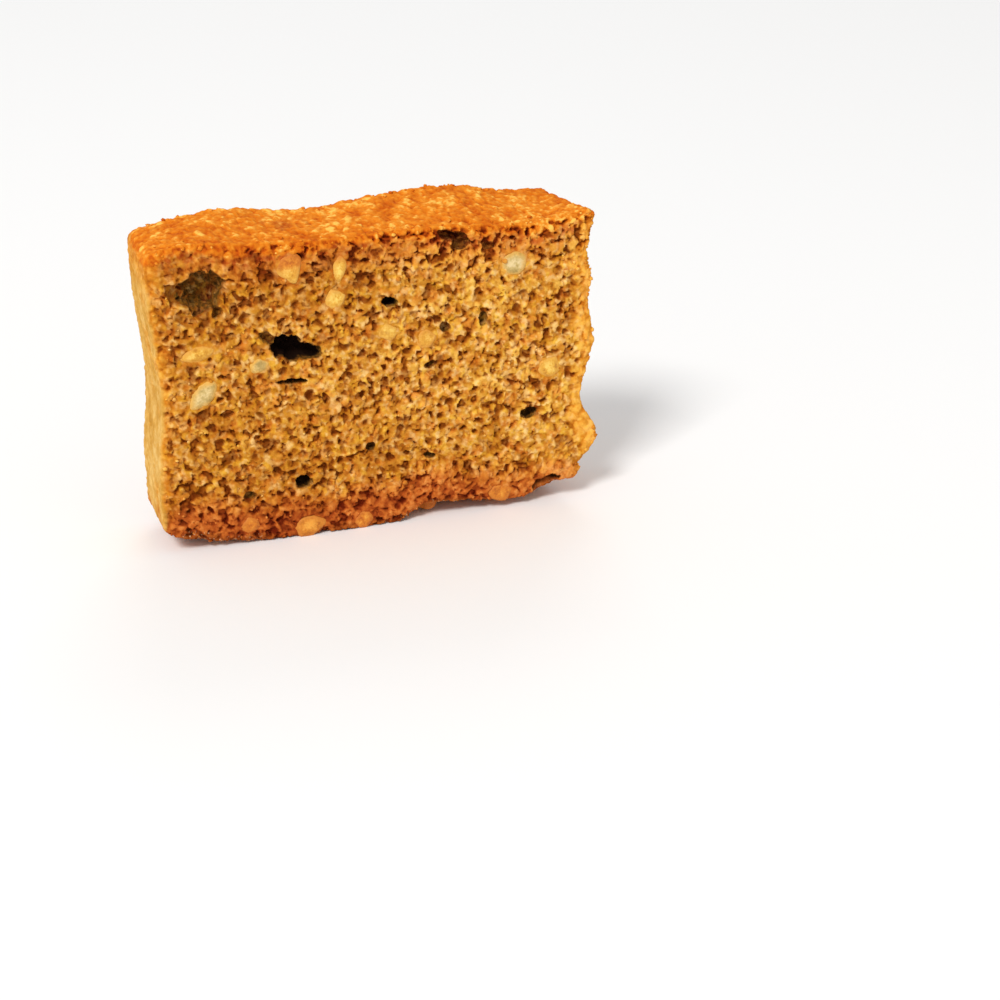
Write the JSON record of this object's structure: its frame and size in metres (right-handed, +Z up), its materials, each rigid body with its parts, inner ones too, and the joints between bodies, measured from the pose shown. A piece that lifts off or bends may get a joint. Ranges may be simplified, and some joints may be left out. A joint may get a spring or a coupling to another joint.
{
  "type": "cake rusk",
  "caption": "Thick upright slice of nut-topped sponge cake: open crumb on both cut faces, a thin browned crust round it, and chopped nut pieces in the cuts and in the baked top it stands on.",
  "frame": {"origin": "under the middle of the slice, on the surface that it stands on", "axes": "+X along the slice to its ragged end, +Y through it from the front cut face to the back one, +Z up from the nut-topped crust that it stands on"},
  "size_m": [0.1014, 0.0206, 0.0715],
  "materials": {
    "crumb": "golden sponge crumb with brown pores, orange-brown crust on top and red-brown crust below, dry and matte",
    "nut": "pale chopped nut flesh, toasted ochre to brown at its edges, with a faint oily sheen"
  },
  "bodies": {
    "root": {"back_nut_1": "nut", "back_nut_2": "nut", "back_nut_3": "nut", "back_nut_4": "nut", "edge_nut_1": "nut", "edge_nut_2": "nut", "edge_nut_3": "nut", "edge_nut_4": "nut", "flat_nut": "nut", "round_nut": "nut", "slanted_nut": "nut", "slice": "crumb", "small_nut_1": "nut", "small_nut_2": "nut", "small_nut_3": "nut", "small_nut_4": "nut", "small_nut_5": "nut", "top_nut_1": "nut", "top_nut_10": "nut", "top_nut_11": "nut", "top_nut_12": "nut", "top_nut_13": "nut", "top_nut_14": "nut", "top_nut_15": "nut", "top_nut_2": "nut", "top_nut_3": "nut", "top_nut_4": "nut", "top_nut_5": "nut", "top_nut_6": "nut", "top_nut_7": "nut", "top_nut_8": "nut", "top_nut_9": "nut", "upright_nut": "nut", "wedge_nut": "nut"}
  },
  "joints": []
}
